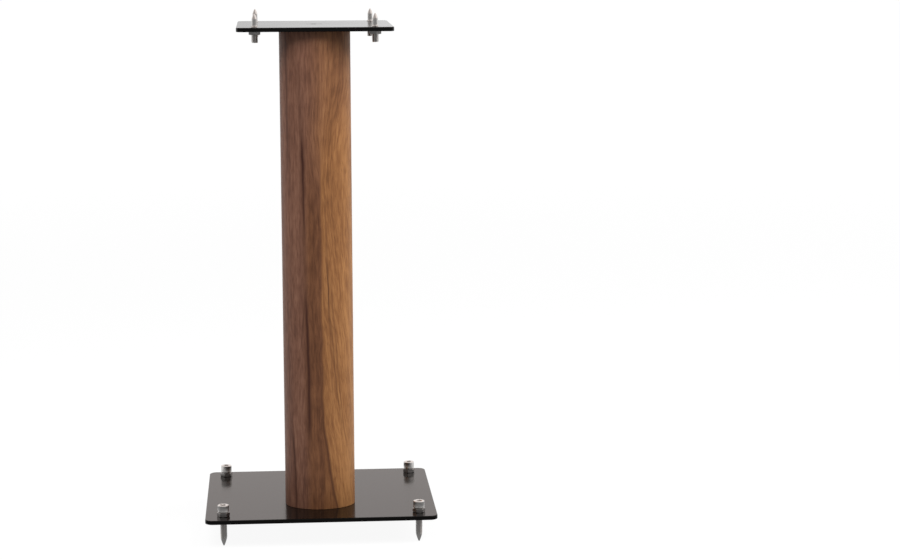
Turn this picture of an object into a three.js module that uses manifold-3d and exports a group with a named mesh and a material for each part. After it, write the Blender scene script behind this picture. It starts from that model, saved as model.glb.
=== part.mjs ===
// A loudspeaker stand: a hollow oval column, veneered in walnut, clamped between two black steel
// plates by a tie rod. Four pointed bolts carry the base plate and four studs point up at the speaker.
// Millimetres, +Z up, -Y is the front. The origin is on the floor, under the middle of the base plate.

import * as THREE from "three";
import { mergeVertices } from "three/addons/utils/BufferGeometryUtils.js";
import Module from "manifold-3d";

const wasm = await Module();
wasm.setup();

// ---- Driving dimensions -------------------------------------------------------------------------

const standHeight = 600; // floor to the upper face of the top plate
const floorGap = 30; // floor to the underside of the base plate
const fitGap = 0.3; // clearance all round between a piece and the hole or pocket that holds it

const plateThickness = 5;
const plateArris = 0.8; // soft edge of both plates
const basePlate = { width: 270, depth: 240, corner: 9 };
const topPlate = { width: 180, depth: 180, corner: 7 };
const spikeInset = 21; // spike axis to the plate's edges

const column = { width: 82, depth: 158, wall: 9 };
const columnNose = 35; // depth of the half ellipse that rounds the front and the back
const veneerThickness = 1;
const blockHeight = 25; // plug inside each end of the column

const threadDiameter = 8; // M8: spikes, studs, nuts and tie rod
const nut = { flats: 13, faceShare: 0.95, boreChamfer: 0.5 };
const nutHeight = { floor: 5, top: 4, tieRod: 6.5 };

const spikePoint = { tipRadius: 0.6, fullness: 0.45 }; // the ground point is very slightly blunt
const floorSpikePoint = 11; // length of the point
const spikeHead = { diameter: 13, height: 8, standOff: 0.5, underChamfer: 0.3, topChamfer: 0.7 };
const spikeSocket = { flats: 6, depth: 4.5 };
const topSpikeHeight = 15; // plate face to tip
const topSpikePoint = 6; // length of the point at the end of it
const topSpikeNeck = { radius: 3, rise: 0.4, shoulder: 1 }; // turned down just above the plate
const topStud = { belowNut: 9, footChamfer: 0.8 };

const tieRod = { tail: 2.5, clearance: 0.5, endChamfer: 0.8, endGap: 1 };
const washer = { diameter: 16, thickness: 1.6, bore: 8.8 };
const capNut = { diameter: 18, head: 2.5, edge: 0.3 }; // its head lies flush in the top plate
const capNutSleeve = { diameter: 10, length: 12.5, boreEnd: 0.5 }; // the bore ends just under the head
const pin = { diameter: 6, length: 20, chamfer: 0.7, plateDepth: 3, spacing: 84 };

// How far each nut happens to be turned, in degrees: front left, front right, rear left, rear right.
const floorNutTurn = [0, 4, 14, 17];
const topNutTurn = [28, 33, 20, 38];
const tieRodNutTurn = 12;

// Heights that follow from the driving dimensions.
const baseTop = floorGap + plateThickness;
const topUnderside = standHeight - plateThickness;

// Segments round a turned piece, round a nut (six sides share them evenly) and in a quarter arc.
const roundSteps = 20;
const nutSteps = 24;
const noseSteps = 14;
const cornerSteps = 3;
const smallHoleSteps = 4;

// ---- Materials ----------------------------------------------------------------------------------

function finish(color, roughness, metalness) {
  return () => new THREE.MeshStandardMaterial({ color, roughness, metalness });
}

const blackCoat = finish(0x15140f, 0.35, 0.2);
const walnut = finish(0x7a553c, 0.5, 0);
const fibreboard = finish(0xa08560, 0.9, 0);
const birch = finish(0xc9ab7c, 0.8, 0);
const brightSteel = finish(0xc3c1bd, 0.25, 1);
const zincSteel = finish(0x9c9d9c, 0.4, 1);

// ---- Shapes and solids --------------------------------------------------------------------------

function circle(radius, x = 0, y = 0, Outline = THREE.Path) {
  return new Outline().absarc(x, y, radius, 0, 2 * Math.PI, false);
}

function hexagon(flats) {
  const points = [];
  for (let i = 0; i < 6; i += 1) {
    const angle = (i * Math.PI) / 3;
    points.push(new THREE.Vector2(Math.cos(angle), Math.sin(angle)).multiplyScalar(flats / Math.sqrt(3)));
  }
  return new THREE.Shape(points);
}

function roundedRectangle({ width, depth, corner }) {
  const x = width / 2 - corner;
  const y = depth / 2 - corner;
  const shape = new THREE.Shape();
  shape.absarc(x, -y, corner, -Math.PI / 2, 0, false);
  shape.absarc(x, y, corner, 0, Math.PI / 2, false);
  shape.absarc(-x, y, corner, Math.PI / 2, Math.PI, false);
  shape.absarc(-x, -y, corner, Math.PI, 1.5 * Math.PI, false);
  shape.closePath();
  return shape;
}

// The column's outline, set in by a distance: two flat sides joined by half ellipses.
function oval(inset, Outline = THREE.Shape) {
  const half = column.width / 2 - inset;
  const nose = columnNose - inset;
  const flat = column.depth / 2 - columnNose;
  const outline = new Outline();
  outline.absellipse(0, flat, half, nose, 0, Math.PI, false);
  outline.absellipse(0, -flat, half, nose, Math.PI, 2 * Math.PI, false);
  outline.closePath();
  return outline;
}

// An upright prism of a shape, from one height to another.
function prism(shape, bottom, top, arcSteps = roundSteps / 2) {
  const settings = { depth: top - bottom, bevelEnabled: false, curveSegments: arcSteps };
  return new THREE.ExtrudeGeometry(shape, settings).translate(0, 0, bottom);
}

// A prism whose outer edges, and the edges of its holes, are eased by a small bevel.
function easedPlate(shape, bottom, top, ease) {
  const settings = {
    depth: top - bottom - 2 * ease,
    bevelThickness: ease,
    bevelSize: ease,
    bevelOffset: -ease,
    bevelSegments: 2,
    curveSegments: 2 * cornerSteps,
  };
  return new THREE.ExtrudeGeometry(shape, settings).translate(0, 0, bottom + ease);
}

// A turned piece about the Z axis. The profile is a list of [radius, height], upwards along the outside.
function turned(profile, steps = roundSteps) {
  const points = profile.map(([radius, height]) => new THREE.Vector2(radius, height));
  return new THREE.LatheGeometry(points, steps).rotateX(Math.PI / 2);
}

// The geometry as one closed body: shared corners merged and empty triangles dropped.
function closed(geometry) {
  const bare = geometry.clone();
  bare.deleteAttribute("normal");
  bare.deleteAttribute("uv");
  const merged = mergeVertices(bare, 1e-4);
  const old = merged.index.array;
  const kept = [];
  for (let i = 0; i < old.length; i += 3) {
    const [a, b, c] = [old[i], old[i + 1], old[i + 2]];
    if (a !== b && b !== c && c !== a) kept.push(a, b, c);
  }
  merged.setIndex(kept);
  return merged;
}

function toSolid(geometry) {
  const body = closed(geometry);
  const vertProperties = new Float32Array(body.attributes.position.array);
  const triVerts = new Uint32Array(body.index.array);
  return new wasm.Manifold(new wasm.Mesh({ numProp: 3, vertProperties, triVerts }));
}

function toGeometry(solid) {
  const mesh = solid.getMesh();
  const geometry = new THREE.BufferGeometry();
  geometry.setAttribute("position", new THREE.BufferAttribute(mesh.vertProperties, mesh.numProp));
  geometry.setIndex(new THREE.BufferAttribute(mesh.triVerts, 1));
  geometry.computeVertexNormals();
  return geometry;
}

function cut(geometry, ...tools) {
  return toGeometry(tools.reduce((solid, tool) => solid.subtract(toSolid(tool)), toSolid(geometry)));
}

function common(geometry, other) {
  return toGeometry(toSolid(geometry).intersect(toSolid(other)));
}

const stand = new THREE.Group();

function add(name, geometry, material, place = [0, 0, 0], turn = 0) {
  const mesh = new THREE.Mesh(closed(geometry), material());
  mesh.name = name;
  mesh.position.set(...place);
  mesh.rotation.z = THREE.MathUtils.degToRad(turn);
  stand.add(mesh);
}

// ---- Plates -------------------------------------------------------------------------------------

// The spike axes of a plate: front left, front right, rear left, rear right.
function spikeAxes({ width, depth }) {
  const x = width / 2 - spikeInset;
  const y = depth / 2 - spikeInset;
  return [[-x, -y], [x, -y], [-x, y], [x, y]];
}

// A plate has four tapped spike holes, a middle hole for the tie rod, and two blind holes for the
// locating pins in the face that meets the column. Other drills may be given for it too.
function plate(size, bottom, middleRadius, pinFloor, ...otherDrills) {
  const outline = roundedRectangle(size);
  for (const [x, y] of spikeAxes(size)) outline.holes.push(circle(threadDiameter / 2 + fitGap, x, y));
  outline.holes.push(circle(middleRadius));
  const blank = easedPlate(outline, bottom, bottom + plateThickness, plateArris);
  const pinCircle = circle(pin.diameter / 2 + fitGap, 0, 0, THREE.Shape);
  const drill = prism(pinCircle, pinFloor, pinFloor + 2 * pin.plateDepth, 2 * smallHoleSteps);
  const drills = [-1, 1].map((side) => drill.clone().translate(0, (side * pin.spacing) / 2, 0));
  return cut(blank, ...drills, ...otherDrills);
}

const rodHole = threadDiameter / 2 + tieRod.clearance;
const sleeveHole = capNutSleeve.diameter / 2 + fitGap;
add("base_plate", plate(basePlate, floorGap, rodHole, baseTop - pin.plateDepth), blackCoat);

// The top plate's pin holes open downwards, so the drill starts below its underside. The recess for the
// cap nut's head opens upwards.
const capNutSeat = standHeight - capNut.head;
const recessCircle = circle(capNut.diameter / 2 + fitGap, 0, 0, THREE.Shape);
const recess = prism(recessCircle, capNutSeat, standHeight + 1);
const topBlank = plate(topPlate, topUnderside, sleeveHole, topUnderside - pin.plateDepth, recess);
add("top_plate", topBlank, blackCoat);

// ---- Column -------------------------------------------------------------------------------------

// A tube with the column's outline, between two insets.
function ovalTube(outer, inner) {
  const shape = oval(outer);
  shape.holes.push(oval(inner, THREE.Path));
  return prism(shape, baseTop, topUnderside, noseSteps);
}

const coreInset = veneerThickness + fitGap;
const blockInset = coreInset + column.wall + fitGap;
add("column_veneer", ovalTube(0, veneerThickness), walnut);
add("column_core", ovalTube(coreInset, coreInset + column.wall), fibreboard);

// The plug in each end takes the tie rod through its middle and the two locating pins.
function endBlock(bottom, middleRadius) {
  const shape = oval(blockInset);
  shape.holes.push(circle(middleRadius));
  for (const side of [-1, 1]) {
    shape.holes.push(circle(pin.diameter / 2 + fitGap, 0, (side * pin.spacing) / 2));
  }
  return prism(shape, bottom, bottom + blockHeight, noseSteps);
}

add("column_bottom_block", endBlock(baseTop, rodHole), birch);
add("column_top_block", endBlock(topUnderside - blockHeight, sleeveHole), birch);

// ---- Nuts, tie rod and locating pins ------------------------------------------------------------

// A hexagonal nut: a prism cut by a turned ring, which gives the chamfered corners and the bore.
function hexNut(height) {
  const bore = threadDiameter / 2 + fitGap;
  const mouth = bore + nut.boreChamfer;
  const rim = nut.flats / Math.sqrt(3) + fitGap; // just outside the hexagon's corners
  const face = (nut.faceShare * nut.flats) / 2;
  const drop = (rim - face) * Math.tan(Math.PI / 6);
  const ring = turned(
    [
      [face, 0],
      [rim, drop],
      [rim, height - drop],
      [face, height],
      [mouth, height],
      [bore, height - nut.boreChamfer],
      [bore, nut.boreChamfer],
      [mouth, 0],
      [face, 0],
    ],
    nutSteps,
  );
  return common(prism(hexagon(nut.flats), 0, height), ring);
}

// A round bar with chamfered ends, between two heights.
function bar(diameter, bottom, top, chamfer) {
  const radius = diameter / 2;
  return turned([
    [0, bottom],
    [radius - chamfer, bottom],
    [radius, bottom + chamfer],
    [radius, top - chamfer],
    [radius - chamfer, top],
    [0, top],
  ]);
}

// A flat head with a threaded sleeve below it.
function tieRodCapNut() {
  const head = capNut.diameter / 2;
  const sleeve = capNutSleeve.diameter / 2;
  const bore = threadDiameter / 2 + fitGap;
  return turned([
    [0, capNutSeat - capNutSleeve.boreEnd],
    [bore, capNutSeat - capNutSleeve.boreEnd],
    [bore, capNutSeat - capNutSleeve.length],
    [sleeve, capNutSeat - capNutSleeve.length],
    [sleeve, capNutSeat],
    [head, capNutSeat],
    [head, standHeight - capNut.edge],
    [head - capNut.edge, standHeight],
    [0, standHeight],
  ]);
}

// Below the base plate the rod passes the washer and its nut. Its upper end sits in the cap nut.
const washerBottom = floorGap - washer.thickness;
const tieRodNutBottom = washerBottom - nutHeight.tieRod;
const rodBottom = tieRodNutBottom - tieRod.tail;
const rodTop = capNutSeat - capNutSleeve.boreEnd - tieRod.endGap;
add("tie_rod", bar(threadDiameter, rodBottom, rodTop, tieRod.endChamfer), zincSteel);
add("tie_rod_cap_nut", tieRodCapNut(), blackCoat);
add("tie_rod_nut", hexNut(nutHeight.tieRod), zincSteel, [0, 0, tieRodNutBottom], tieRodNutTurn);

const washerShape = circle(washer.diameter / 2, 0, 0, THREE.Shape);
washerShape.holes.push(circle(washer.bore / 2));
add("tie_rod_washer", prism(washerShape, washerBottom, floorGap), zincSteel);

// Each pin stands in its plate's blind hole, a fitting gap short of the hole's floor.
const lowerPinFoot = baseTop - pin.plateDepth + fitGap;
const upperPinFoot = topUnderside + pin.plateDepth - fitGap - pin.length;
for (const [side, where] of [[-1, "front"], [1, "rear"]]) {
  const place = [0, (side * pin.spacing) / 2, 0];
  for (const [end, foot] of [["base", lowerPinFoot], ["top", upperPinFoot]]) {
    const body = bar(pin.diameter, foot, foot + pin.length, pin.chamfer);
    add(`locating_pin_${end}_${where}`, body, zincSteel, place);
  }
}

// ---- Spikes and their lock nuts -----------------------------------------------------------------

// The point of a spike, as [radius, distance from the tip]. Its side bulges a little past a cone:
// the radius grows as share + fullness * share * (1 - share), with share going from 0 to 1.
function ogive(length, radius, steps = 4) {
  const { tipRadius, fullness } = spikePoint;
  const points = [];
  for (let i = 0; i <= steps; i += 1) {
    const share = i / steps;
    const growth = share + fullness * share * (1 - share);
    points.push([tipRadius + (radius - tipRadius) * growth, length * share]);
  }
  return points;
}

// A bolt with a socket head, whose other end is ground to the point that stands on the floor.
function floorSpike() {
  const neck = baseTop + nutHeight.floor + spikeHead.standOff;
  const top = neck + spikeHead.height;
  const radius = spikeHead.diameter / 2;
  const profile = [
    [0, 0],
    ...ogive(floorSpikePoint, threadDiameter / 2),
    [threadDiameter / 2, neck],
    [radius - spikeHead.underChamfer, neck],
    [radius, neck + spikeHead.underChamfer],
    [radius, top - spikeHead.topChamfer],
    [radius - spikeHead.topChamfer, top],
    [0, top],
  ];
  return cut(turned(profile), prism(hexagon(spikeSocket.flats), top - spikeSocket.depth, top + 1));
}

// A headless stud, chamfered at its foot. Above the plate it is turned down to a neck, and pointed.
function topSpike() {
  const foot = topUnderside - nutHeight.top - topStud.belowNut;
  const tip = standHeight + topSpikeHeight;
  const radius = threadDiameter / 2;
  const neck = topSpikeNeck;
  const threadTop = standHeight + neck.rise;
  const point = ogive(topSpikePoint, neck.radius).map(([r, fromTip]) => [r, tip - fromTip]);
  return turned([
    [0, foot],
    [radius - topStud.footChamfer, foot],
    [radius, foot + topStud.footChamfer],
    [radius, threadTop],
    [neck.radius, threadTop + neck.shoulder],
    ...point.reverse(),
    [0, tip],
  ]);
}

["front_left", "front_right", "rear_left", "rear_right"].forEach((corner, i) => {
  const [floorX, floorY] = spikeAxes(basePlate)[i];
  const [topX, topY] = spikeAxes(topPlate)[i];
  const onBase = [floorX, floorY, baseTop];
  const underTop = [topX, topY, topUnderside - nutHeight.top];
  add(`floor_spike_${corner}`, floorSpike(), brightSteel, [floorX, floorY, 0]);
  add(`floor_lock_nut_${corner}`, hexNut(nutHeight.floor), brightSteel, onBase, floorNutTurn[i]);
  add(`top_spike_${corner}`, topSpike(), brightSteel, [topX, topY, 0]);
  add(`top_lock_nut_${corner}`, hexNut(nutHeight.top), brightSteel, underTop, topNutTurn[i]);
});

export default stand;
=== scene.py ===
# %% [markdown]
# # Dressing a speaker stand
#
# The stand is a hollow oval column, veneered in walnut, clamped between two black steel plates by a
# tie rod. Pointed bolts carry the base plate off the floor, and pointed studs stand up from the top
# plate, under the loudspeaker. The construction model already holds every piece at its real size.
# This lesson gives those pieces their finish, and remakes the ones whose round or threaded surfaces
# need more than the construction model's flat facets.

import math

import bmesh
import bpy
import numpy as np
from mathutils import Matrix, Vector


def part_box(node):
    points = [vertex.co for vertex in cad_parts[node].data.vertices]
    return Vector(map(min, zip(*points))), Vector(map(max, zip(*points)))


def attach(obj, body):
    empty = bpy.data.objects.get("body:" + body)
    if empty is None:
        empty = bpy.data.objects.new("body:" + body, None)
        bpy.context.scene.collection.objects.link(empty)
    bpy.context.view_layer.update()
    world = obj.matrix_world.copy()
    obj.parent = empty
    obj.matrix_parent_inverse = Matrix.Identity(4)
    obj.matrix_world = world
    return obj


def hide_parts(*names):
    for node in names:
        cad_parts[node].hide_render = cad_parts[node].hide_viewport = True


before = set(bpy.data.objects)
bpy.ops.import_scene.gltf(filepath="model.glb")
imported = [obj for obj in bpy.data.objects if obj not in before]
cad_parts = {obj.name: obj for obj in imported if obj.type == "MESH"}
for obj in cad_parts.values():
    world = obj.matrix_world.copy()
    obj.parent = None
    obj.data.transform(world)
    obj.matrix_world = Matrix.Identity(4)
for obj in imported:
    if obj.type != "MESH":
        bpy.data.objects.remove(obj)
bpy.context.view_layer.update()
MM = 0.001  # the scene is in metres, and the sizes of pieces are given in millimetres
STAND = "stand"

# %% [markdown]
# ## Camera
#
# A long lens looks at the stand from a little to its left and slightly above, from almost three
# metres away. The place, the three turns and the focal length were worked out so that the corners of
# both plates and the sides of the column fall where the picture has them. The focal length is in
# picture widths, so the lens follows from the width of the sensor.

# %% Camera
IMAGE_WIDTH_PX = 900
FOCAL_LENGTH_PX = 2305.2
SENSOR_WIDTH_MM = 36.0
CAMERA_PLACE = Vector((-0.05093, -2.72060, 0.72004))
CAMERA_TURN = 0.07705  # radians to the right of straight ahead
CAMERA_TILT = 0.15502  # radians down
CAMERA_ROLL = -0.00354

forward = Vector((math.sin(CAMERA_TURN), math.cos(CAMERA_TURN), -math.tan(CAMERA_TILT))).normalized()
level = Vector((math.cos(CAMERA_TURN), -math.sin(CAMERA_TURN), 0))
across = math.cos(CAMERA_ROLL) * level + math.sin(CAMERA_ROLL) * level.cross(forward)
upward = across.cross(forward)

camera = bpy.data.objects.new("camera", bpy.data.cameras.new("camera"))
camera.data.sensor_width = SENSOR_WIDTH_MM
camera.data.lens = SENSOR_WIDTH_MM * FOCAL_LENGTH_PX / IMAGE_WIDTH_PX
camera_turn = Matrix((across, upward, -forward)).transposed().to_4x4()
camera.matrix_world = Matrix.Translation(CAMERA_PLACE) @ camera_turn
bpy.context.scene.collection.objects.link(camera)
bpy.context.scene.camera = camera
print("lens:", round(camera.data.lens, 2), "mm")

# %% [markdown]
# ## Shader arithmetic
#
# A finish is mostly arithmetic on patterns: this noise times that mask, one minus the result. Wired
# by hand, every sign is a node and two links. Here one small class wraps an output socket, so that
# `1 - mask * 0.4` adds its Math nodes by itself. Every other node comes from the method `add`, which
# takes the settings first, such as an operation or the stops of a colour ramp, and then the inputs.


# %% Shader arithmetic
class Link:
    """An output socket of a node tree. Arithmetic on it adds Math nodes."""

    def __init__(self, tree, socket=None):
        self.tree = tree
        self.socket = socket

    def add(self, kind, inputs=None, settings=None, output=0):
        """Adds one node: its settings first, then a value or a link for each input named."""
        node = self.tree.nodes.new(kind)
        for name, value in (settings or {}).items():
            if name == "stops":
                self.set_stops(node.color_ramp.elements, value)
            else:
                setattr(node, name, value)
        for name, value in (inputs or {}).items():
            if isinstance(value, Link):
                self.tree.links.new(value.socket, node.inputs[name])
            else:
                node.inputs[name].default_value = value
        return Link(self.tree, node.outputs[output] if node.outputs else None)

    @staticmethod
    def set_stops(elements, stops):
        """Gives a colour ramp its stops, each a place from 0 to 1 and a colour."""
        while len(elements) < len(stops):
            elements.new(1.0)
        for element, (place, colour) in zip(elements, stops):
            element.position = place
            element.color = (*colour, 1.0)

    def maths(self, operation, first, second=0.0):
        return self.add("ShaderNodeMath", {0: first, 1: second}, {"operation": operation})

    def __add__(self, other):
        return self.maths("ADD", self, other)

    def __radd__(self, other):
        return self.maths("ADD", other, self)

    def __sub__(self, other):
        return self.maths("SUBTRACT", self, other)

    def __rsub__(self, other):
        return self.maths("SUBTRACT", other, self)

    def __mul__(self, other):
        return self.maths("MULTIPLY", self, other)

    def __truediv__(self, other):
        return self.maths("DIVIDE", self, other)

    def __pow__(self, other):
        return self.maths("POWER", self, other)

    def ramp(self, low, high, smooth=True):
        """0 up to low and 1 from high on, with a smooth or a straight climb between them.

        low may also be above high, and the value then falls instead of climbing.
        """
        kind = "SMOOTHSTEP" if smooth else "LINEAR"
        inputs = {"Value": self, "From Min": low, "From Max": high}
        return self.add("ShaderNodeMapRange", inputs, {"interpolation_type": kind})

    def bell(self, centre, half_width):
        """1 where the value is at centre, falling to 0 as a bell curve of that half width."""
        away = (self - centre) / half_width
        return self.maths("EXPONENT", away * away * -1.0)


def mix_colours(factor, first, second):
    """A colour between two: first where factor is 0 and second where it is 1."""
    start = factor if isinstance(factor, Link) else first
    colours = [c if isinstance(c, Link) else (*c, 1.0) for c in (first, second)]
    inputs = {0: factor, 6: colours[0], 7: colours[1]}
    return start.add("ShaderNodeMix", inputs, {"data_type": "RGBA"}, output=2)


def combine(x, y, z):
    """A vector from three values."""
    start = next(value for value in (x, y, z) if isinstance(value, Link))
    return start.add("ShaderNodeCombineXYZ", {0: x, 1: y, 2: z})


def separate(vector):
    """The three values of a vector."""
    node = vector.add("ShaderNodeSeparateXYZ", {0: vector})
    outputs = node.socket.node.outputs
    return [Link(vector.tree, outputs[i]) for i in range(3)]


def noise(vector, scale, detail=2.0, roughness=0.5):
    """Smooth random values from 0 to 1, with that many swells a metre."""
    inputs = {"Vector": vector, "Scale": scale, "Detail": detail, "Roughness": roughness}
    return vector.add("ShaderNodeTexNoise", inputs)


print("shader arithmetic ready")

# %% [markdown]
# ## Surroundings
#
# The picture has a plain white ground. To a lens that looks along it, the black plate is a mirror for
# what stands behind, while its front edge and the fronts of the steel pieces only mirror what is in
# front. A studio is bright behind the object and dark on the camera's side, so rays off gloss see such a
# room here, a little warm higher up. The lamps aren't seen in gloss, as they would be hard white squares
# on the steel: a soft glow towards the brighter lamp stands for them. Rays from the camera see plain
# white. What lights the wood is a third, lower value, so that white stays white without more light.

# %% Surroundings
AMBIENT = 0.24
GLOSS_BEHIND = 1.0
GLOSS_IN_FRONT = 0.36
GLOSS_LEFT = 0.50
GLOSS_RIGHT = 0.75
GLOSS_ABOVE = 0.55
GLOSS_LAMP = 1.25
LAMP_SIDE = (0.68, -0.22, 0.70)  # the direction of the brighter lamp
HORIZON_DIMMING = 0.24  # how much darker the backdrop is low down, left of the stand

# Where each part of the studio begins and is full. A ray that points straight at it has 1.
LEFT_PART = (-0.2, -0.95)
RIGHT_PART = (0.2, 0.95)
CEILING_PART = (0.35, 0.9)
BACKDROP_PART = (-0.05, 0.5)
LAMP_PART = (0.74, 0.97)
DIM_BELOW = (0.20, 0.04)
DIM_LEFT_OF = (0.06, -0.04)
WARM_ABOVE = (0.08, 0.22)
WHITE = (1.0, 1.0, 1.0)
WARM = (1.0, 0.92, 0.89)


def mix_values(factor, first, second):
    """A value between two: first where factor is 0 and second where it is 1."""
    return first + factor * (second - first)


world = bpy.data.worlds.new("studio")
bpy.context.scene.world = world
world.use_nodes = True
world.cycles.sampling_method = "NONE"
world.node_tree.nodes.clear()
start = Link(world.node_tree)
light_path = start.add("ShaderNodeLightPath").socket.node.outputs
seen_directly = Link(world.node_tree, light_path["Is Camera Ray"])
seen_in_gloss = Link(world.node_tree, light_path["Is Glossy Ray"])
seen_through = Link(world.node_tree, light_path["Is Transmission Ray"])

direction = start.add("ShaderNodeTexCoord", output="Generated")
towards_right, towards_back, towards_sky = separate(direction)
studio = mix_values(towards_right.ramp(*LEFT_PART), GLOSS_IN_FRONT, GLOSS_LEFT)
studio = mix_values(towards_right.ramp(*RIGHT_PART), studio, GLOSS_RIGHT)
studio = mix_values(towards_sky.ramp(*CEILING_PART), studio, GLOSS_ABOVE)
dimmed = towards_sky.ramp(*DIM_BELOW) * towards_right.ramp(*DIM_LEFT_OF) * HORIZON_DIMMING
studio = mix_values(towards_back.ramp(*BACKDROP_PART), studio, GLOSS_BEHIND - dimmed)
nearness = towards_right * LAMP_SIDE[0] + towards_back * LAMP_SIDE[1] + towards_sky * LAMP_SIDE[2]
studio = mix_values(nearness.ramp(*LAMP_PART), studio, GLOSS_LAMP)
strength = mix_values(seen_in_gloss, AMBIENT, studio)
strength = mix_values(seen_directly + seen_through, strength, 1.0)
colour = mix_colours(seen_in_gloss * towards_sky.ramp(*WARM_ABOVE), WHITE, WARM)
background = start.add("ShaderNodeBackground", {"Color": colour, "Strength": strength})
start.add("ShaderNodeOutputWorld", {"Surface": background})
print("studio:", len(world.node_tree.nodes), "nodes")

# %% [markdown]
# ## Floor
#
# The floor is a large sheet. To the camera it has a glow of its own, a little short of white near the
# stand, so that the lamps bring it up to white and the stand still shades it. Far away the lamps don't
# reach, so the glow grows there with the distance from the stand. Off gloss the floor is dark in front
# of the stand, like the room above it, and to the wood it is a plain light grey.

# %% Floor
FLOOR_HALF_SIZE = 60.0
GLOW_NEAR = 0.93
GLOW_FAR = 0.98
GLOSS_FLOOR = 0.20  # the floor in front of the stand, off gloss
FAR_PART = (1.0, 5.0)  # metres from the stand between which the glow grows
REAR_PART = (-0.14, 0.12)  # metres behind its middle between which the floor off gloss turns bright
FLOOR_GREY = (0.34, 0.34, 0.34)
SHADED_GREY = (0.11, 0.11, 0.11)
BLACK = (0.0, 0.0, 0.0)
RAYS = ("Camera", "Glossy", "Transmission")

floor_mesh = bpy.data.meshes.new("floor")
corners = [(x * FLOOR_HALF_SIZE, y * FLOOR_HALF_SIZE, 0) for x, y in ((-1, -1), (1, -1), (1, 1), (-1, 1))]
floor_mesh.from_pydata(corners, [], [(0, 1, 2, 3)])
floor = bpy.data.objects.new("floor", floor_mesh)
bpy.context.scene.collection.objects.link(floor)


def floor_material():
    material = bpy.data.materials.new("floor_sheet")
    material.use_nodes = True
    material.node_tree.nodes.clear()
    start = Link(material.node_tree)
    outputs = start.add("ShaderNodeLightPath").socket.node.outputs
    direct, gloss, through = [Link(material.node_tree, outputs[f"Is {kind} Ray"]) for kind in RAYS]
    place = start.add("ShaderNodeTexCoord", output="Object")
    distance = place.add("ShaderNodeVectorMath", {0: place}, {"operation": "LENGTH"}, output="Value")
    glow = mix_values(distance.ramp(*FAR_PART), GLOW_NEAR, GLOW_FAR)
    mirrored = mix_values(separate(place)[1].ramp(*REAR_PART), GLOSS_FLOOR, GLOW_NEAR)
    glow = mix_values(gloss, glow, mirrored)
    plain = start.add("ShaderNodeBsdfDiffuse", {"Color": (*FLOOR_GREY, 1.0)})
    shaded = start.add("ShaderNodeBsdfDiffuse", {"Color": mix_colours(gloss, SHADED_GREY, BLACK)})
    glowing = start.add("ShaderNodeEmission", {"Color": (*WHITE, 1.0), "Strength": glow})
    both = start.add("ShaderNodeAddShader", {0: shaded, 1: glowing})
    shown = start.add("ShaderNodeMixShader", {0: direct + gloss + through, 1: plain, 2: both})
    start.add("ShaderNodeOutputMaterial", {"Surface": shown})
    return material


floor_mesh.materials.append(floor_material())
print("floor:", 2 * FLOOR_HALF_SIZE, "m across")

# %% [markdown]
# ## Lamps
#
# Two large soft lamps hang high. The one on the right brightens that side of the column. The one in
# front gives the left half of the column its light, and both throw the top plate's shadow down the wood:
# a shadow that reaches as far down as the plate stands out, times the tangent of the lamp's height
# angle. The power of a square lamp follows from the brightness that a white card would have in its
# light: pi squared times the distance squared. Gloss sees the room's soft glow instead of the lamps.

# %% Lamps
CARD_BRIGHTNESS = {"key": 0.84, "front": 0.60}
LAMPS_AIM = Vector((0, 0, 0.35))


def soft_lamp(name, distance, azimuth, elevation, size):
    """A square lamp at a distance from the column's middle. Azimuth 0 is in front and 90 to the right."""
    turn = math.radians(azimuth)
    rise = math.radians(elevation)
    aside = Vector((math.sin(turn), -math.cos(turn), 0))
    outwards = aside * math.cos(rise) + Vector((0, 0, math.sin(rise)))
    data = bpy.data.lights.new(name, "AREA")
    data.shape = "SQUARE"
    data.size = size
    data.energy = CARD_BRIGHTNESS[name] * math.pi**2 * distance**2
    lamp = bpy.data.objects.new(name, data)
    facing = outwards.to_track_quat("Z", "Y").to_matrix().to_4x4()
    lamp.matrix_world = Matrix.Translation(LAMPS_AIM + outwards * distance) @ facing
    lamp.visible_glossy = False
    bpy.context.scene.collection.objects.link(lamp)
    print(name, "lamp:", round(data.energy, 1), "W")


soft_lamp("key", distance=2.2, azimuth=72, elevation=44, size=1.5)
soft_lamp("front", distance=2.4, azimuth=-24, elevation=50, size=1.3)

# %% [markdown]
# ## Surfaces from rows of points
#
# Most pieces here are turned, or are carried round a closed outline. Both are a grid: one direction
# runs round the piece, and the other along its profile. The grid closes on itself round the piece.
# Along the profile it either closes too, as on a nut with its bore, or ends in two single points on
# the axis. Rows that climb along the outside, with columns that run anticlockwise, put the faces'
# outer sides outwards.


# %% Surfaces from rows of points
SHARP_ANGLE = math.radians(28)  # faces that meet at more than this have a sharp edge between them


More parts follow.
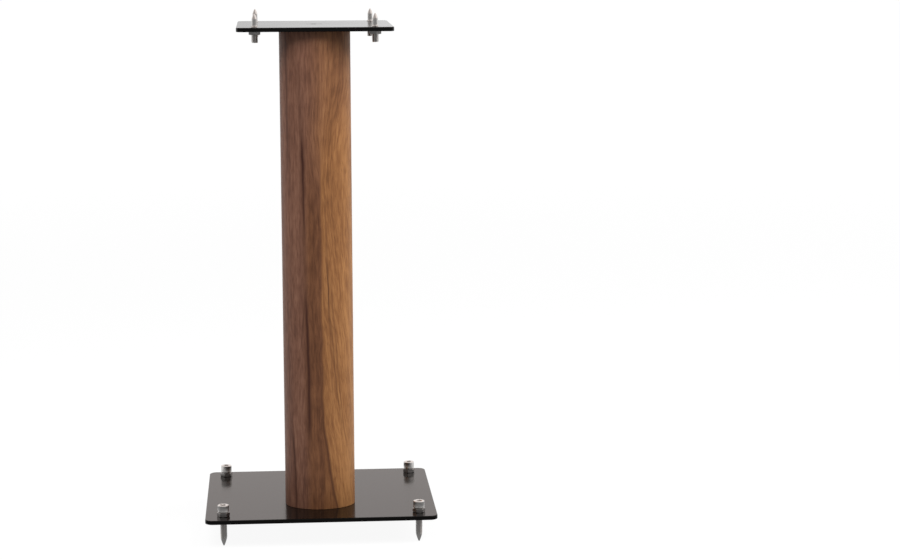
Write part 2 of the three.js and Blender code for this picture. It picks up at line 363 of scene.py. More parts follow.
def surface(name, rows, ring=False, uv=None):
    """A mesh object through points of shape (rows, columns, 3).

    Each point joins the next one in its row and the one above it in the next row. With ring, the last
    row joins the first. Without it the first and the last row are each one point, repeated, which is
    kept once with triangles round it. uv gives flat coordinates of shape (rows, columns + 1, 2), as the
    last column's faces end where the first column's begin.
    """
    count, columns, _ = rows.shape
    index = np.arange(count * columns).reshape(count, columns)
    if not ring:
        index[0] = index[0, 0]
        index[-1] = index[-1, 0]
    lower = index if ring else index[:-1]
    upper = np.roll(index, -1, axis=0) if ring else index[1:]
    quads = np.stack([lower, np.roll(lower, -1, 1), np.roll(upper, -1, 1), upper], axis=-1)
    faces = quads.reshape(-1, 4).tolist()
    if not ring:
        faces = [list(dict.fromkeys(face)) for face in faces]
    mesh = bpy.data.meshes.new(name)
    mesh.from_pydata(rows.reshape(-1, 3).tolist(), [], faces)
    if uv is not None:
        above = np.roll(uv, -1, axis=0)
        corners = np.stack([uv[:, :-1], uv[:, 1:], above[:, 1:], above[:, :-1]], axis=2)
        mesh.uv_layers.new(name="veneer").uv.foreach_set("vector", corners.astype(np.float32).ravel())
    tidy = bmesh.new()
    tidy.from_mesh(mesh)
    loose = [vertex for vertex in tidy.verts if not vertex.link_faces]
    bmesh.ops.delete(tidy, geom=loose, context="VERTS")
    tidy.to_mesh(mesh)
    tidy.free()
    mesh.shade_smooth()
    mesh.set_sharp_from_angle(angle=SHARP_ANGLE)
    piece = bpy.data.objects.new(name, mesh)
    bpy.context.scene.collection.objects.link(piece)
    return piece


AROUND = 96
ANGLES = np.arange(AROUND) * 2 * math.pi / AROUND


def rings(profile, centre, turn=0.0):
    """Rows round an upright axis from a list of (radius, height) in millimetres.

    Either may be a number or an array with one value for each of the ANGLES. The point at angle a lies
    at centre + radius * (cos(a + turn), sin(a + turn)), at that height.
    """
    radius = np.array([np.broadcast_to(r, ANGLES.shape) for r, _ in profile]) * MM
    height = np.array([np.broadcast_to(h, ANGLES.shape) for _, h in profile]) * MM
    x = centre[0] + radius * np.cos(ANGLES + turn)
    y = centre[1] + radius * np.sin(ANGLES + turn)
    return np.stack([x, y, height], axis=-1)


def hexagon(flats):
    """Distance from the axis to the side of a hexagon at each of the ANGLES: half the width across its
    flats, over the cosine of the angle to the middle of the nearest side. One corner lies at angle 0."""
    return flats / 2 / np.cos(ANGLES % (math.pi / 3) - math.pi / 6)


def arc(centre, radius, start, end, steps=5):
    """Points on a circle in the profile's plane, from one angle to another, in degrees."""
    angles = np.radians(np.linspace(start, end, steps))
    return [(centre[0] + radius * math.cos(a), centre[1] + radius * math.sin(a)) for a in angles]


print("a ring has", AROUND, "points")

# %% [markdown]
# ## Powder coat
#
# Both plates are steel with a black powder coat. It is nearly black, but it isn't flat: the powder
# melts into a skin with a very fine orange peel. Seen along the plate, even a black surface mirrors,
# so most of the grey on the plates is the white room behind, and the roughness decides how far the
# mirrored nuts and column blur.


# %% Powder coat
def finished(start, **inputs):
    """Ends a material with one Principled shader. Its sockets' names are given with _ for each space."""
    named = {key.replace("_", " "): value for key, value in inputs.items()}
    shader = start.add("ShaderNodeBsdfPrincipled", named)
    start.add("ShaderNodeOutputMaterial", {"Surface": shader})


def new_material(name):
    material = bpy.data.materials.new(name)
    material.use_nodes = True
    material.node_tree.nodes.clear()
    start = Link(material.node_tree)
    return material, start, start.add("ShaderNodeTexCoord", output="Object")


def bump(height, distance):
    """A normal tilted by a height pattern, where 1 stands that many metres proud."""
    return height.add("ShaderNodeBump", {"Height": height, "Distance": distance, "Strength": 1.0})


def powder_coat():
    material, start, place = new_material("powder_coat")
    peel = noise(place, 900.0, detail=3.0)
    cloud = noise(place, 14.0, detail=4.0)
    speck = noise(place, 2600.0, detail=1.0).ramp(0.62, 0.75)
    colour = mix_colours(cloud, (0.0017, 0.0015, 0.0014), (0.0030, 0.0026, 0.0024))
    colour = mix_colours(speck * 0.5, colour, (0.010, 0.009, 0.008))
    roughness = 0.11 + cloud * 0.04 + peel * 0.02
    finished(
        start,
        Base_Color=colour,
        Roughness=roughness,
        Specular_IOR_Level=0.22,
        Normal=bump(peel, 0.000004),
    )
    return material


POWDER_COAT = powder_coat()
print("powder coat:", len(POWDER_COAT.node_tree.nodes), "nodes")

# %% [markdown]
# ## Plates
#
# The plates of the construction model are right in every size, with their rounded corners, eased
# edges and drilled holes. Their mesh is loose triangles, though, which shade as facets. A copy whose
# corners are merged can shade smoothly round its corners. Its flat faces are long slivers, and those
# spoil smooth shading with faint streaks, so they are joined back into whole faces.


# %% Plates
MERGE_WITHIN = 0.001  # corners closer together than this, in millimetres, become one
FLAT_WITHIN = math.radians(0.5)  # faces that meet at less than this become one
PLATE_SHARP_ANGLE = math.radians(20)


def smooth_copy(node, name):
    """A copy of a construction piece with its corners and flat faces merged, and smooth round its bends."""
    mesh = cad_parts[node].data.copy()
    mesh.name = name
    mesh.materials.clear()
    merged = bmesh.new()
    merged.from_mesh(mesh)
    bmesh.ops.remove_doubles(merged, verts=merged.verts, dist=MERGE_WITHIN * MM)
    bmesh.ops.dissolve_limit(merged, angle_limit=FLAT_WITHIN, verts=merged.verts, edges=merged.edges)
    merged.to_mesh(mesh)
    merged.free()
    mesh.shade_smooth()
    mesh.set_sharp_from_angle(angle=PLATE_SHARP_ANGLE)
    piece = bpy.data.objects.new(name, mesh)
    even = piece.modifiers.new("even_faces", "WEIGHTED_NORMAL")
    even.keep_sharp = True
    bpy.context.scene.collection.objects.link(piece)
    return piece


def dress(piece, material, slot, body, *nodes):
    """Gives a new piece its material, makes it ride on its body and stand for its nodes. slot is not used.
    """
    piece.data.materials.append(material)
    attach(piece, body)
    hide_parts(*nodes)
    print(piece.name, "stands for", ", ".join(nodes), "with", len(piece.data.polygons), "faces")


for node in ("base_plate", "top_plate"):
    dress(smooth_copy(node, node + "_coated"), POWDER_COAT, "black_coat", STAND, node)

# %% [markdown]
# ## Walnut
#
# The column wears one sheet of walnut veneer, wrapped round it with the joint at the back. The pattern
# has to follow the sheet, so it is drawn on flat coordinates: u is the distance round the column from
# the middle of its front, and v is the height, both in metres. Noise that is stretched forty times
# along v gives the bands and the fine lines, and a slow drift added to u makes them wander as real
# grain does.
#
# The sheet was cut across the edge of the heartwood. Left of that edge the wood is a dull purple
# brown, then a russet band, and right of it golden, with slanting grain. Round the sides the zones give
# way to a slow mixture of both. The strong figure lines are placed one by one, because each sheet has a
# few that the eye goes to first.

# %% Walnut
# Figure lines, in millimetres: distance round from the front at the line's foot and head, half width,
# and the heights between which it shows. bend 1 is straight, and more bends it most near its head.
FIGURE_LINES = [
    {"foot": -31.5, "head": -37.5, "half_width": 1.8, "strength": 0.85, "from": 36, "to": 130, "bend": 3.0},
    {"foot": -37.5, "head": -39.0, "half_width": 1.8, "strength": 0.60, "from": 450, "to": 620, "bend": 1.0},
    {"foot": -12.0, "head": -18.0, "half_width": 4.5, "strength": 0.38, "from": 120, "to": 470, "bend": 1.0},
    {"foot": -17.0, "head": -24.0, "half_width": 4.0, "strength": 0.34, "from": 440, "to": 570, "bend": 1.5},
    {"foot": -12.2, "head": -14.0, "half_width": 1.5, "strength": 0.60, "from": 130, "to": 290, "bend": 1.0},
    {"foot": -15.5, "head": -18.0, "half_width": 1.2, "strength": 0.55, "from": 370, "to": 475, "bend": 1.0},
    {"foot": -24.0, "head": -16.0, "half_width": 0.9, "strength": 0.42, "from": 225, "to": 285, "bend": 0.6},
    {"foot": 27.0, "head": 9.0, "half_width": 1.0, "strength": 0.42, "from": 140, "to": 340, "bend": 0.7},
    {"foot": 34.0, "head": 16.0, "half_width": 0.9, "strength": 0.38, "from": 110, "to": 300, "bend": 0.7},
    {"foot": 16.0, "head": 8.0, "half_width": 0.8, "strength": 0.30, "from": 170, "to": 420, "bend": 1.0},
]
FADE_INSIDE = 20.0  # how far inside its two heights a line starts to fade, and how far outside it ends
FADE_OUTSIDE = 30.0
HEART_EDGE = 3.2
BRANCH = {"foot": 19.5, "half_width": 1.7, "strength": 0.66, "from": 36, "to": 175, "bend": 1.8}
GRAIN_STRETCH = 0.026  # the height is shrunk to this share in the grain's noise
GRAIN_SLANT = 0.11  # to the right of the heartwood, below the height from which the grain is straight
GRAIN_STRAIGHT = 0.42

# The tone runs from a zone's darkest colour at 0 to its palest at 1. It is one level for the whole sheet
# and this much of each pattern.
TONE = {"level": -0.17, "band": 0.34, "line": 0.36, "hair": 0.14, "fleck": 0.34, "ripple": 0.16}
# Painted light, not the wood's own colour: the sheet is painted paler on the right, in the golden wood
# towards the foot, and low on the right, where the lamps here reach less than the picture's do.
PAINTED_LIGHT = {"right": 0.10, "golden_foot_painted_light": 0.08, "low_right_painted_light": 0.20}
PORE_STRENGTH = 0.35

# Each zone's colours, from its darkest to its palest.
PURPLE = ((0.095, 0.040, 0.028), (0.222, 0.101, 0.064), (0.340, 0.168, 0.108))
RUSSET = ((0.090, 0.034, 0.017), (0.200, 0.083, 0.039), (0.310, 0.135, 0.061))
GOLDEN = ((0.165, 0.066, 0.026), (0.335, 0.145, 0.054), (0.520, 0.245, 0.092))
FIGURE_COLOUR = (0.064, 0.022, 0.014)


def heights_shown(v, low, high):
    """1 between two heights, with a soft end round each."""
    from_low = v.ramp((low - FADE_OUTSIDE) * MM, (low + FADE_INSIDE) * MM)
    return from_low * v.ramp((high + FADE_INSIDE) * MM, (high - FADE_OUTSIDE) * MM)


def wood_colour(tone, colours):
    stops = list(zip((0.0, 0.5, 1.0), colours))
    return tone.add("ShaderNodeValToRGB", {0: tone}, {"stops": stops})


def figure_lines(wander, v):
    figure = 0.0
    for line in FIGURE_LINES:
        climb = v.ramp(line["from"] * MM, line["to"] * MM, smooth=False) ** line["bend"]
        path = mix_values(climb, line["foot"] * MM, line["head"] * MM)
        mark = wander.bell(path, line["half_width"] * MM) * line["strength"]
        figure = figure + mark * heights_shown(v, line["from"], line["to"])
    return figure


def walnut():
    material, start, _ = new_material("walnut")
    sheet = start.add("ShaderNodeUVMap", settings={"uv_map": "veneer"})
    u, v, _ = separate(sheet)
    drift = noise(combine(u * 0.25, v, 0.0), 5.0, detail=1.0) - 0.5
    waver = noise(combine(u, v, 0.4), 28.0, detail=2.0) - 0.5
    wander = u + drift * 0.004 + waver * 0.0035

    # The edge of the heartwood runs down to the foot, and a dark line branches off it to the right.
    fall = v.ramp(BRANCH["to"] * MM, BRANCH["from"] * MM, smooth=False) ** BRANCH["bend"]
    branch = mix_values(fall, HEART_EDGE * MM, BRANCH["foot"] * MM)
    ragged = wander + waver * 0.005
    right_of_edge = (ragged - HEART_EDGE * MM).ramp(-0.0012, 0.0030)
    right_of_branch = (wander - branch).ramp(-0.001, 0.0025)
    crisp = right_of_edge * 0.4 + right_of_branch * 0.6
    # Painted shade: above about 0.44 m the golden wood fades partly into the darker purple brown, which
    # darkens the wood under the top plate.
    soft = wander.ramp(-0.018, 0.020) * mix_values(v.ramp(0.44, 0.56), 1.0, 0.62)
    golden = mix_values(v.ramp(0.40, 0.48), crisp, soft)
    branch_line = wander.bell(branch, BRANCH["half_width"] * MM) * v.ramp(0.20, 0.10)

    slanted = v.maths("MINIMUM", v, GRAIN_STRAIGHT) * GRAIN_SLANT
    flow = u + drift * 0.016 + waver * 0.005 + slanted * golden
    grain = combine(flow, v * GRAIN_STRETCH, 0.0)
    band = noise(grain, 40.0, detail=2.0)
    line = noise(grain, 190.0, detail=3.0, roughness=0.6)
    hair = noise(grain, 800.0, detail=2.0, roughness=0.6)
    fleck = noise(combine(flow, v * 0.13, 0.2), 420.0, detail=2.0)
    pores = noise(combine(flow, v * 0.07, 0.3), 1500.0, detail=1.0).ramp(0.60, 0.72)
    ripple = noise(combine(u, v * 0.5, 0.7), 55.0, detail=1.0)

    tone = band.ramp(0.25, 0.75) * TONE["band"] + line.ramp(0.25, 0.75) * TONE["line"]
    tone = tone + hair * TONE["hair"] + fleck.ramp(0.3, 0.7) * TONE["fleck"]
    tone = tone + ripple.ramp(0.3, 0.7) * TONE["ripple"] + TONE["level"]
    # Painted light: the next terms make the wood paler on the right, low in the golden wood and low on the
    # right, standing in for light the lamps here don't bring.
    tone = tone + u.ramp(0.018, 0.045) * PAINTED_LIGHT["right"]
    tone = tone + golden * v.ramp(0.32, 0.06) * PAINTED_LIGHT["golden_foot_painted_light"]
    low_right_painted_light = u.ramp(0.016, 0.038) * v.ramp(0.37, 0.25) * v.ramp(0.02, 0.10)
    tone = tone + low_right_painted_light * PAINTED_LIGHT["low_right_painted_light"]
    far_round = (u * u).ramp(0.055**2, 0.10**2)
    mixture = noise(combine(flow, v * 0.06, 0.9), 16.0, detail=1.0).ramp(0.40, 0.62)
    golden = mix_values(far_round, golden, mixture)
    russet = u.ramp(-0.022, -0.008) * v.ramp(0.52, 0.36)
    colour = mix_colours(russet, wood_colour(tone, PURPLE), wood_colour(tone, RUSSET))
    colour = mix_colours(golden, colour, wood_colour(tone, GOLDEN))

    figure = figure_lines(wander, v) + branch_line * BRANCH["strength"]
    colour = mix_colours(figure * (0.75 + fleck * 0.5), colour, FIGURE_COLOUR)
    colour = mix_colours(pores * PORE_STRENGTH, colour, FIGURE_COLOUR)
    relief = line * 0.4 + hair * 0.4 - pores
    finished(
        start,
        Base_Color=colour,
        Roughness=0.46 + hair * 0.12 + pores * 0.15,
        Specular_IOR_Level=0.32,
        Normal=bump(relief, 0.00004),
    )
    return material


WALNUT = walnut()
print("walnut:", len(WALNUT.node_tree.nodes), "nodes")

# %% [markdown]
# ## Column
#
# In plan the column has two flat sides joined by half ellipses. A long curve like this could be
# modelled as a few points and subdivided, but then its width would only be near the real one. Here the
# outline is worked out exactly and walked in equal steps, which also gives the distance round it for
# the veneer's flat coordinates. The sheet is a closed skin one millimetre thick, with a tiny arris at
# each end where it meets the plates.

# %% Column
COLUMN_NOSE = 35.0
VENEER = 1.0
ARRIS = 0.4
COLUMN_STEPS = 288
COLUMN_ROWS = 12
QUARTER_SAMPLES = 400


def oval(low, high, nose, steps):
    """Equal steps round the oval, anticlockwise from the middle of the back: points, outward directions
    and the whole length. Both ends are half ellipses, x = a cos t, y = c + b sin t, with straight sides."""
    half_width = (high.x - low.x) / 2
    flat = (high.y - low.y) / 2 - nose
    rear_left = np.linspace(math.pi / 2, math.pi, QUARTER_SAMPLES)
    front = np.linspace(math.pi, 2 * math.pi, 2 * QUARTER_SAMPLES)
    rear_right = np.linspace(0, math.pi / 2, QUARTER_SAMPLES)
    turned = np.concatenate([rear_left, front, rear_right])
    x = half_width * np.cos(turned)
    y = nose * np.sin(turned)
    y += np.repeat([flat, -flat, flat], [len(rear_left), len(front), len(rear_right)])
    walked = np.concatenate([[0], np.cumsum(np.hypot(np.diff(x), np.diff(y)))])
    even = np.arange(steps) * walked[-1] / steps
    points = np.stack([np.interp(even, walked, x), np.interp(even, walked, y)], axis=1)
    along = np.roll(points, -1, axis=0) - np.roll(points, 1, axis=0)
    along /= np.linalg.norm(along, axis=1)[:, None]
    outwards = np.stack([along[:, 1], -along[:, 0]], axis=1)
    return points, outwards, walked[-1]


def veneer_sheet():
    """The skin: the outline set in by each profile row's inset, at that row's height."""
    low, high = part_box("column_veneer")
    points, outwards, length = oval(low, high, COLUMN_NOSE * MM, COLUMN_STEPS)
    bottom = low.z / MM
    top = high.z / MM
    profile = [(VENEER, bottom)]
    profile += [(ARRIS + dx, bottom + ARRIS + dz) for dx, dz in arc((0, 0), ARRIS, 270, 180)]
    profile += [(0.0, z) for z in np.linspace(bottom, top, COLUMN_ROWS)[1:-1]]
    profile += [(ARRIS + dx, top - ARRIS + dz) for dx, dz in arc((0, 0), ARRIS, 180, 90)]
    profile += [(VENEER, top)]
    rows = np.empty((len(profile), COLUMN_STEPS, 3))
    uv = np.empty((len(profile), COLUMN_STEPS + 1, 2))
    for row, (inset, height) in enumerate(profile):
        rows[row, :, :2] = points - outwards * inset * MM
        rows[row, :, 2] = height * MM
        uv[row, :, 0] = np.linspace(-length / 2, length / 2, COLUMN_STEPS + 1)
        uv[row, :, 1] = height * MM
    print("round the column:", round(length / MM), "mm")
    return surface("column_walnut", rows, ring=True, uv=uv)


dress(veneer_sheet(), WALNUT, "walnut_veneer", STAND, "column_veneer")

# %% [markdown]
# ## Inside the column
#
# Nothing shows of the fibreboard shell, the birch plugs and the steel pins while the stand is whole.
# They keep the construction model's meshes, and still get a real finish, because the stand can be
# taken apart: speckled fibres, thin layers of ply, and dull zinc.


# %% Inside the column
LAYER_PAIR = 0.0028  # two layers of ply, one pale and one dark


def fibreboard():
    material, start, place = new_material("fibreboard")
    fibres = noise(place, 700.0, detail=4.0, roughness=0.7)
    cloud = noise(place, 60.0, detail=3.0)
    colour = mix_colours(fibres * 0.7 + cloud * 0.3, (0.20, 0.135, 0.075), (0.44, 0.32, 0.19))
    finished(start, Base_Color=colour, Roughness=0.88, Normal=bump(fibres, 0.00012))
    return material


def birch_ply():
    material, start, place = new_material("birch_ply")
    _, _, height = separate(place)
    layer = height.maths("SINE", height * (2 * math.pi / LAYER_PAIR)).ramp(-0.3, 0.3)
    figure = noise(place, 220.0, detail=3.0)
    colour = mix_colours(layer, (0.34, 0.22, 0.12), (0.62, 0.46, 0.28))
    colour = mix_colours(figure * 0.35, colour, (0.30, 0.19, 0.10))
    finished(start, Base_Color=colour, Roughness=0.72, Normal=bump(layer + figure, 0.00008))
    return material


def zinc():
    material, start, place = new_material("zinc")
    crystal = noise(place, 420.0, detail=3.0, roughness=0.6)
    colour = mix_colours(crystal, (0.40, 0.41, 0.42), (0.60, 0.61, 0.60))
    finished(
        start,
        Base_Color=colour,
        Metallic=1.0,
        Roughness=0.34 + crystal * 0.16,
        Normal=bump(crystal, 0.00001),
    )
    return material


FIBREBOARD = fibreboard()
BIRCH = birch_ply()
ZINC = zinc()
kept = {"column_core": FIBREBOARD, "column_bottom_block": BIRCH, "column_top_block": BIRCH}
kept.update({node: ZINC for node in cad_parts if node.startswith("locating_pin")})
for node, material in kept.items():
    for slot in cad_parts[node].material_slots:
        slot.material = material
print("kept as they are:", ", ".join(sorted(kept)))

# %% [markdown]
# ## Bright steel
#
# The spikes and lock nuts are turned steel plated with nickel. The nuts are the same nickel, drawn darker as
# painted shade and painted reflection of the black plate, because those on the left look darker than the
# spikes in the picture. Turning leaves very fine lines round the axis, so their pattern changes with height
# only. Plated steel is a mirror that shows the room, and its roughness is low but never even: handling
# leaves faint clouds on it.


# %% Bright steel
def bright_steel(name, colours, roughness, line_depth):
    material, start, place = new_material(name)
    _, _, height = separate(place)
    turning = noise(combine(0.0, 0.0, height), 2600.0, detail=3.0, roughness=0.7)
    cloud = noise(place, 160.0, detail=3.0)
    colour = mix_colours(cloud, *colours)
    finished(
        start,
        Base_Color=colour,
        Metallic=1.0,
        Roughness=roughness + cloud * 0.10,
        Normal=bump(turning, line_depth),
    )
    return material


NICKEL = ((0.68, 0.665, 0.645), (0.80, 0.785, 0.77))
# Painted shade and painted reflection: the nuts' nickel is drawn darker than the spikes' to stand in for
# shade and the black plate mirrored in them.
NICKEL_WITH_PAINTED_SHADE = ((0.34, 0.33, 0.32), (0.46, 0.45, 0.44))
SPIKE_STEEL = bright_steel("spike_steel", NICKEL, roughness=0.24, line_depth=0.000004)
NUT_STEEL = bright_steel("nut_steel", NICKEL_WITH_PAINTED_SHADE, roughness=0.26, line_depth=0.000003)
print("steel:", SPIKE_STEEL.name, "and", NUT_STEEL.name)

# %% [markdown]
# ## Screw threads
#
# A thread is one groove that climbs by its pitch with each turn, so its radius depends on height over
# pitch minus the share of a turn gone round. At each point that sum, without its whole turns, says where
# in the groove the point lies: from the crest down a straight flank to the root and up again. On the
# ground point of a spike the cone cuts the crests away, which is just the smaller of the two radii.

# %% Screw threads
THREAD = {"diameter": 8.0, "pitch": 1.25, "depth": 0.70, "root_share": 0.25, "crest_share": 0.125}
STEPS_PER_TURN = 9
THREAD_GAP = 0.05  # how far a threaded bar's rows stay away from its end faces
# A point's blunted end is tip_height high, and its ground side starts at ground_from from the tip.
SPIKE_POINT = {"tip_radius": 0.6, "tip_height": 0.12, "ground_from": 0.2, "fullness": 0.45}


def thread(heights):
    """Radius of the thread, of shape (heights, ANGLES). groove is 0 at a root and 1 at a crest, and a
    share of it is flat at each end."""
    share = heights[:, None] / THREAD["pitch"] - ANGLES / (2 * math.pi)
    groove = np.abs(share % 1.0 - 0.5) * 2
    flank_share = 1 - THREAD["root_share"] - THREAD["crest_share"]
    flank = np.clip((groove - THREAD["root_share"]) / flank_share, 0, 1)
    return THREAD["diameter"] / 2 - THREAD["depth"] * (1 - flank)


def ogive(from_tip, length, radius):
    """Radius of a ground point at a distance from its tip: a cone whose side bulges a little. It grows
    as share + fullness * share * (1 - share), with share the distance over the point's length."""
    share = np.clip(from_tip / length, 0, 1)
    growth = share + SPIKE_POINT["fullness"] * share * (1 - share)
    blunt = SPIKE_POINT["tip_radius"]
    return blunt + (radius - blunt) * growth


def blunt_tip(tip, side):
    """Rows of a point's blunted end, from its axis outwards. side is 1 if it points down and -1 if up."""
    radius = SPIKE_POINT["tip_radius"]
    return [(0.0, tip), (radius * 0.7, tip), (radius, tip + side * SPIKE_POINT["tip_height"])]


def threaded(bottom, top, cutter):
    """Profile rows of a threaded bar between two heights, cut down to the cutter's radius at each height."""
    count = int(round((top - bottom) / THREAD["pitch"] * STEPS_PER_TURN)) + 1
    heights = np.linspace(bottom, top, count)
    radius = np.minimum(thread(heights), cutter(heights)[:, None])
    return list(zip(radius, heights))


print("turns on 40 mm:", 40 / THREAD["pitch"])

# %% [markdown]
# ## Floor spikes
#
# Each floor spike is a bolt with a round head and a hexagonal socket, whose other end is ground to a
# point. One profile makes it, from the tip up the outside, over the head and down into the socket. Where
# the profile goes from round to hexagonal, a row simply has a different radius at each angle, and the
# chamfer at the socket's mouth sinks by as much as the radius shrinks. The head has a straight knurl to
# grip it by: every second point of a row is set in, which makes upright ridges all round.

# %% Floor spikes
CORNERS = ("front_left", "front_right", "rear_left", "rear_right")
FLOOR_HEAD = {"height": 8.0, "edge": 0.7, "lower_edge": 0.3}
FLOOR_SOCKET = {"flats": 6.0, "mouth": 3.8, "depth": 4.5}
SOCKET_FLOOR = {"corner": 0.4, "cone_share": 0.9, "cone_depth": 0.6}
FLOOR_POINT = 11.0
KNURL = {"depth": 0.22, "below": 1.2, "above": 1.4, "run_out": 0.4}
RIDGES = KNURL["depth"] * (np.arange(AROUND) % 2)


def socket_profile(face, flats, mouth, depth, side=1):
    """From a flat face into a hexagonal socket and on to the middle of its floor. side is 1 for a socket
    that goes down from the face and -1 for one that goes up. Read backwards it comes out of the socket."""
    wall = hexagon(flats)
    floor = face - side * depth
    return [
        (mouth, face),
        (wall, face - side * (mouth - wall)),
        (wall, floor + side * SOCKET_FLOOR["corner"]),
        (wall * SOCKET_FLOOR["cone_share"], floor),
        (0.0, floor - side * SOCKET_FLOOR["cone_depth"]),
    ]


def measures(node):
    """A turned piece's middle in metres, and its radius, bottom and top in millimetres."""
    low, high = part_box(node)
    return (low + high) / 2, (high.x - low.x) / 2 / MM, low.z / MM, high.z / MM


def floor_spike(corner):
    node = f"floor_spike_{corner}"
    centre, radius, tip, top = measures(node)
    shank = THREAD["diameter"] / 2
    neck = top - FLOOR_HEAD["height"]
    edge = FLOOR_HEAD["edge"]
    lower_edge = FLOOR_HEAD["lower_edge"]
    profile = blunt_tip(tip, 1)
    threads_from = tip + SPIKE_POINT["ground_from"]
    profile += threaded(threads_from, neck, lambda z: ogive(z - tip, FLOOR_POINT, shank))
    profile += [(shank, neck), (radius - lower_edge, neck), (radius, neck + lower_edge)]
    low_end = neck + KNURL["below"]
    high_end = top - KNURL["above"]
    run_out = KNURL["run_out"]
    profile += [(radius, low_end - run_out), (radius - RIDGES, low_end)]
    profile += [(radius - RIDGES, high_end), (radius, high_end + run_out)]
    profile += arc((radius - edge, top - edge), edge, 0, 90, steps=6)
    profile += socket_profile(top, **FLOOR_SOCKET)
    piece = surface(f"{node}_turned", rings(profile, centre))
    dress(piece, SPIKE_STEEL, "bright_steel", node, node)


for corner in CORNERS:
    floor_spike(corner)

# %% [markdown]
# ## Top spikes
#
# The four studs in the top plate have no head. They screw up from below with a key in their lower end.
# Just above the plate the thread ends at a short shoulder, and a plain neck goes on to the point. The
# same trick as for the point makes them all: at each height the smallest of three radii wins, that of
# the chamfered foot, of the shoulder with its neck, and of the point.

# %% Top spikes
TOP_POINT = 6.0
TOP_NECK = {"radius": 3.0, "rise": 0.4, "shoulder": 1.0}
TOP_FOOT_EDGE = 0.8
TOP_SOCKET = {"flats": 4.0, "mouth": 2.5, "depth": 4.0}


def top_spike(corner):
    node = f"top_spike_{corner}"
    centre, _, foot, tip = measures(node)
    shank = THREAD["diameter"] / 2
    neck = TOP_NECK["radius"]
    thread_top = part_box("top_plate")[1].z / MM + TOP_NECK["rise"]
    slope = (shank - neck) / TOP_NECK["shoulder"]

    def cutter(z):
        chamfer = shank - TOP_FOOT_EDGE + (z - foot)
        shoulder = np.maximum(neck, shank - slope * (z - thread_top))
        # Below its own length the point cuts nothing away, or the whole stud would be as thin as the neck.
        point = np.where(tip - z < TOP_POINT, ogive(tip - z, TOP_POINT, neck), shank)
        return np.minimum(np.minimum(chamfer, shoulder), point)

    profile = socket_profile(foot, **TOP_SOCKET, side=-1)[::-1]
    profile += [(shank - TOP_FOOT_EDGE, foot)]
    profile += threaded(foot + THREAD_GAP, tip - SPIKE_POINT["ground_from"], cutter)
    profile += blunt_tip(tip, -1)[::-1]
    piece = surface(f"{node}_turned", rings(profile, centre))
    dress(piece, SPIKE_STEEL, "bright_steel", node, node)


for corner in CORNERS:
    top_spike(corner)

# %% [markdown]
# ## Nuts and washer
#
# A nut is cut from hexagonal bar, and its corners are then turned away at thirty degrees. The turned
# cone meets each flat in a curve that is lowest at the corners. In rows that curve needs no cutting: the
# chamfer sinks in proportion to how far the hexagon stands out past the turned face. How far each nut
# happens to be turned is read from its node, whose farthest corner gives the angle.

# %% Nuts and washer
NUT = {"flats": 13.0, "face_share": 0.95, "bore": 4.05, "mouth": 4.6, "softening": 0.1}
CHAMFER_ANGLE = math.radians(30)


def turn_of(node):
    """The angle of the farthest corner of a nut from its axis."""
    centre = measures(node)[0]
    corners = np.array([vertex.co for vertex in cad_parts[node].data.vertices])[:, :2] - centre.xy
    x, y = corners[np.argmax(np.hypot(*corners.T))]
    return math.atan2(y, x)


def soften(piece, width):
    """Rounds a piece's sharp edges with a small bevel."""
    bevel = piece.modifiers.new("edges", "BEVEL")
    bevel.width = width * MM
    bevel.segments = 2
    bevel.limit_method = "ANGLE"
    bevel.angle_limit = SHARP_ANGLE
    bevel.harden_normals = True


def hex_nut(node, material, slot, body):
    centre, _, bottom, top = measures(node)
    side = hexagon(NUT["flats"])
    face = NUT["face_share"] * NUT["flats"] / 2
    drop = (side - face) * math.tan(CHAMFER_ANGLE)
    bore_edge = NUT["mouth"] - NUT["bore"]
    profile = [
        (NUT["mouth"], bottom),
        (face, bottom),
        (side, bottom + drop),
        (side, top - drop),
        (face, top),
        (NUT["mouth"], top),
        (NUT["bore"], top - bore_edge),
        (NUT["bore"], bottom + bore_edge),
    ]
    piece = surface(f"{node}_chamfered", rings(profile, centre, turn_of(node)), ring=True)
    soften(piece, NUT["softening"])
    dress(piece, material, slot, body, node)


for corner in CORNERS:
    for node in (f"floor_lock_nut_{corner}", f"top_lock_nut_{corner}"):
        hex_nut(node, NUT_STEEL, "bright_steel", node)
hex_nut("tie_rod_nut", ZINC, "zinc_steel", STAND)


def washer(node, bore, edge):
    centre, radius, bottom, top = measures(node)
    profile = [(bore, bottom), (radius - edge, bottom), (radius, bottom + edge)]
    profile += [(radius, top - edge), (radius - edge, top), (bore, top)]
    piece = surface(f"{node}_punched", rings(profile, centre), ring=True)
    dress(piece, ZINC, "zinc_steel", STAND, node)


washer("tie_rod_washer", bore=4.4, edge=0.25)

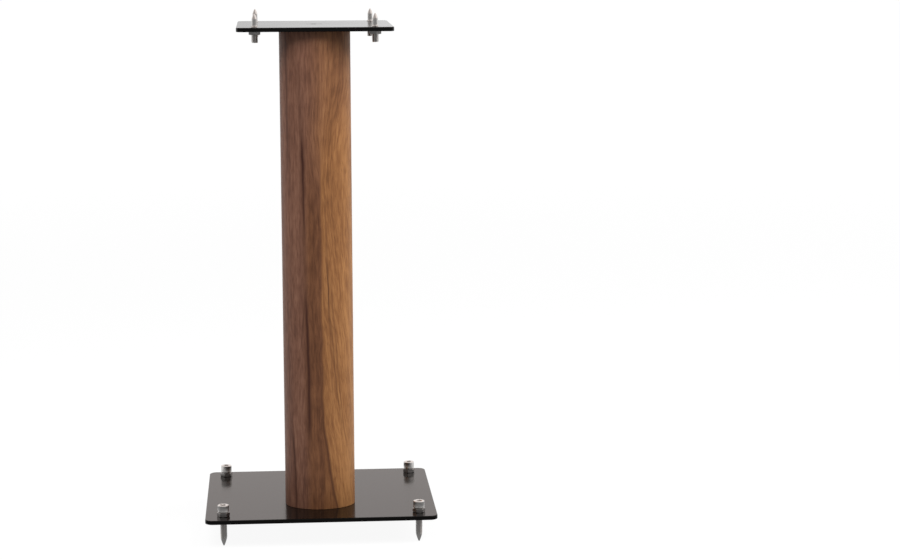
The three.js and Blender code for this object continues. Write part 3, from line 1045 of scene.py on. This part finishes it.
# %% [markdown]
# ## Tie rod and cap nut
#
# The rod runs up the middle of the column. Its ends carry rolled threads, which stand a little proud of
# the plain shank, as rolling pushes the steel outwards. Above, the cap nut's head lies flush in the top
# plate under the same black coat, so that only a fine ring and its socket show. Below the base plate the
# rod's tail comes through its nut.

# %% Tie rod and cap nut
ROD_THREAD = 45.0
ROD_RUN_OUT = 0.6
ROD_SHANK = 3.55
ROD_EDGE = 0.8
CAP = {"head": 2.5, "edge": 0.3, "sleeve": 5.0, "bore": 4.1, "bore_end": 0.5}
CAP_SOCKET = {"flats": 5.0, "mouth": 3.1, "depth": 1.8}


def tie_rod():
    centre, _, bottom, top = measures("tie_rod")
    radius = THREAD["diameter"] / 2

    def chamfered(z):
        return radius - ROD_EDGE + np.minimum(z - bottom, top - z)

    profile = [(0.0, bottom), (radius - ROD_EDGE, bottom)]
    lower_end = bottom + ROD_THREAD
    upper_end = top - ROD_THREAD
    profile += threaded(bottom + THREAD_GAP, lower_end, chamfered)
    profile += [(ROD_SHANK, lower_end + ROD_RUN_OUT), (ROD_SHANK, upper_end - ROD_RUN_OUT)]
    profile += threaded(upper_end, top - THREAD_GAP, chamfered)
    profile += [(radius - ROD_EDGE, top), (0.0, top)]
    piece = surface("tie_rod_rolled", rings(profile, centre))
    dress(piece, ZINC, "zinc_steel", STAND, "tie_rod")


def cap_nut():
    node = "tie_rod_cap_nut"
    centre, radius, bottom, top = measures(node)
    seat = top - CAP["head"]
    bore_end = seat - CAP["bore_end"]
    edge = CAP["edge"]
    profile = [(0.0, bore_end), (CAP["bore"], bore_end), (CAP["bore"], bottom)]
    profile += [(CAP["sleeve"], bottom), (CAP["sleeve"], seat), (radius - edge, seat), (radius, seat + edge)]
    profile += arc((radius - edge, top - edge), edge, 0, 90, steps=4)
    profile += socket_profile(top, **CAP_SOCKET)
    piece = surface(f"{node}_turned", rings(profile, centre))
    dress(piece, POWDER_COAT, "black_coat", STAND, node)


tie_rod()
cap_nut()

# %% [markdown]
# ## Finish
#
# The dressed stand has to keep the construction model's size. The picture uses the Standard view transform.

bpy.context.scene.view_settings.view_transform = "Standard"
